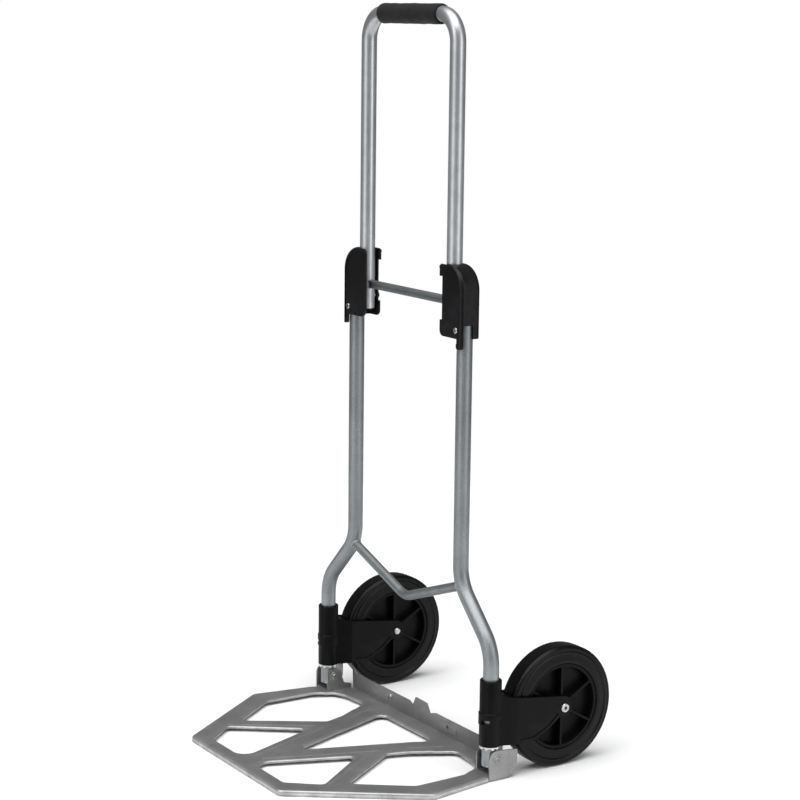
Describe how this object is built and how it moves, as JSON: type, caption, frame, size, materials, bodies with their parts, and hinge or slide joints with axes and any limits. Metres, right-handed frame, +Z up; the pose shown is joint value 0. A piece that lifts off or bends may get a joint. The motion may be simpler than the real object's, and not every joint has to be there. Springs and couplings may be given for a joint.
{
  "type": "folding luggage cart",
  "caption": "Folding luggage cart with a telescoping tube handle, a fold-up pressed toe plate and wheels whose forks swivel in as the plate folds.",
  "frame": {"origin": "on the floor, under the middle of the cart's bounding box", "axes": "X runs across the cart, with +X to the left of a user who stands behind the wheels and faces the toe plate; -Y points to the toe plate, +Y to the wheels, +Z up along the handle"},
  "size_m": [0.472, 0.4606, 1.0015],
  "materials": {
    "silver_tube": "satin silver lacquer on steel tube",
    "silver_plate": "satin silver lacquer on pressed sheet",
    "zinc_steel": "bright zinc plate",
    "black_moulding": "fine-textured black moulding",
    "tyre_rubber": "matt black",
    "foam": "closed-cell foam, matt"
  },
  "bodies": {
    "frame": {"frame_tube_left": "silver_tube", "frame_tube_right": "silver_tube", "v_brace": "silver_tube", "frame_foot_plugs": "zinc_steel", "frame_top_plugs": "black_moulding", "fork_rest_washers": "zinc_steel", "housing_front_shell_left": "black_moulding", "housing_front_shell_right": "black_moulding", "housing_back_shell_left": "black_moulding", "housing_back_shell_right": "black_moulding", "housing_rivets": "zinc_steel"},
    "handle": {"handle_tube": "silver_tube", "foam_grip": "foam", "handle_crossbar": "silver_tube", "handle_leg_plugs": "black_moulding", "snap_spring_left": "zinc_steel", "snap_spring_right": "zinc_steel"},
    "plate": {"toe_plate": "silver_plate", "toe_plate_back_lip": "silver_plate", "lip_rivets": "zinc_steel", "hinge_bracket_left": "silver_plate", "hinge_bracket_right": "silver_plate", "hinge_pin_left": "zinc_steel", "hinge_pin_right": "zinc_steel", "hinge_spacers": "black_moulding"},
    "fork_left": {"wheel_fork_left": "black_moulding", "axle_left": "zinc_steel", "axle_washers_left": "zinc_steel"},
    "wheel_left": {"tyre_left": "tyre_rubber", "wheel_rim_left": "black_moulding", "hub_bush_left": "black_moulding"},
    "snap_left": {"snap_button_left": "zinc_steel"},
    "release_left": {"release_button_left": "black_moulding"},
    "fork_right": {"wheel_fork_right": "black_moulding", "axle_right": "zinc_steel", "axle_washers_right": "zinc_steel"},
    "wheel_right": {"tyre_right": "tyre_rubber", "wheel_rim_right": "black_moulding", "hub_bush_right": "black_moulding"},
    "snap_right": {"snap_button_right": "zinc_steel"},
    "release_right": {"release_button_right": "black_moulding"}
  },
  "joints": [
    {"name": "handle_slide", "type": "slide", "parent": "frame", "child": "handle", "axis": [0, 0, -1], "range_m": [0, 0.27]},
    {"name": "toe_plate_fold", "type": "hinge", "parent": "frame", "child": "plate", "pos_m": [0, 0.04225, 0.028], "axis": [-1, 0, 0], "range_deg": [0, 90]},
    {"name": "left_fork_swivel", "type": "hinge", "parent": "frame", "child": "fork_left", "pos_m": [-0.205, 0.04025, 0.09], "axis": [0, 0, -1], "range_deg": [0, 90]},
    {"name": "left_wheel_spin", "type": "hinge", "parent": "fork_left", "child": "wheel_left", "pos_m": [-0.205, 0.14725, 0.083], "axis": [1, 0, 0], "continuous": true},
    {"name": "left_snap_press", "type": "slide", "parent": "handle", "child": "snap_left", "axis": [0, -1, 0], "range_m": [0, 0.0023], "stiffness_N_per_m": 500, "springref_m": -0.004},
    {"name": "left_release_press", "type": "slide", "parent": "frame", "child": "release_left", "axis": [0, -1, 0], "range_m": [0, 0.0023]},
    {"name": "right_fork_swivel", "type": "hinge", "parent": "frame", "child": "fork_right", "pos_m": [0.205, 0.04025, 0.09], "axis": [0, 0, 1], "range_deg": [0, 90]},
    {"name": "right_wheel_spin", "type": "hinge", "parent": "fork_right", "child": "wheel_right", "pos_m": [0.205, 0.14725, 0.083], "axis": [1, 0, 0], "continuous": true},
    {"name": "right_snap_press", "type": "slide", "parent": "handle", "child": "snap_right", "axis": [0, -1, 0], "range_m": [0, 0.0023], "stiffness_N_per_m": 500, "springref_m": -0.004},
    {"name": "right_release_press", "type": "slide", "parent": "frame", "child": "release_right", "axis": [0, -1, 0], "range_m": [0, 0.0023]}
  ],
  "couplings": [
    {"joint": "left_fork_swivel", "follows": "toe_plate_fold", "ratio": 1},
    {"joint": "left_release_press", "follows": "left_snap_press", "ratio": 1},
    {"joint": "right_fork_swivel", "follows": "toe_plate_fold", "ratio": 1},
    {"joint": "right_release_press", "follows": "right_snap_press", "ratio": 1}
  ]
}
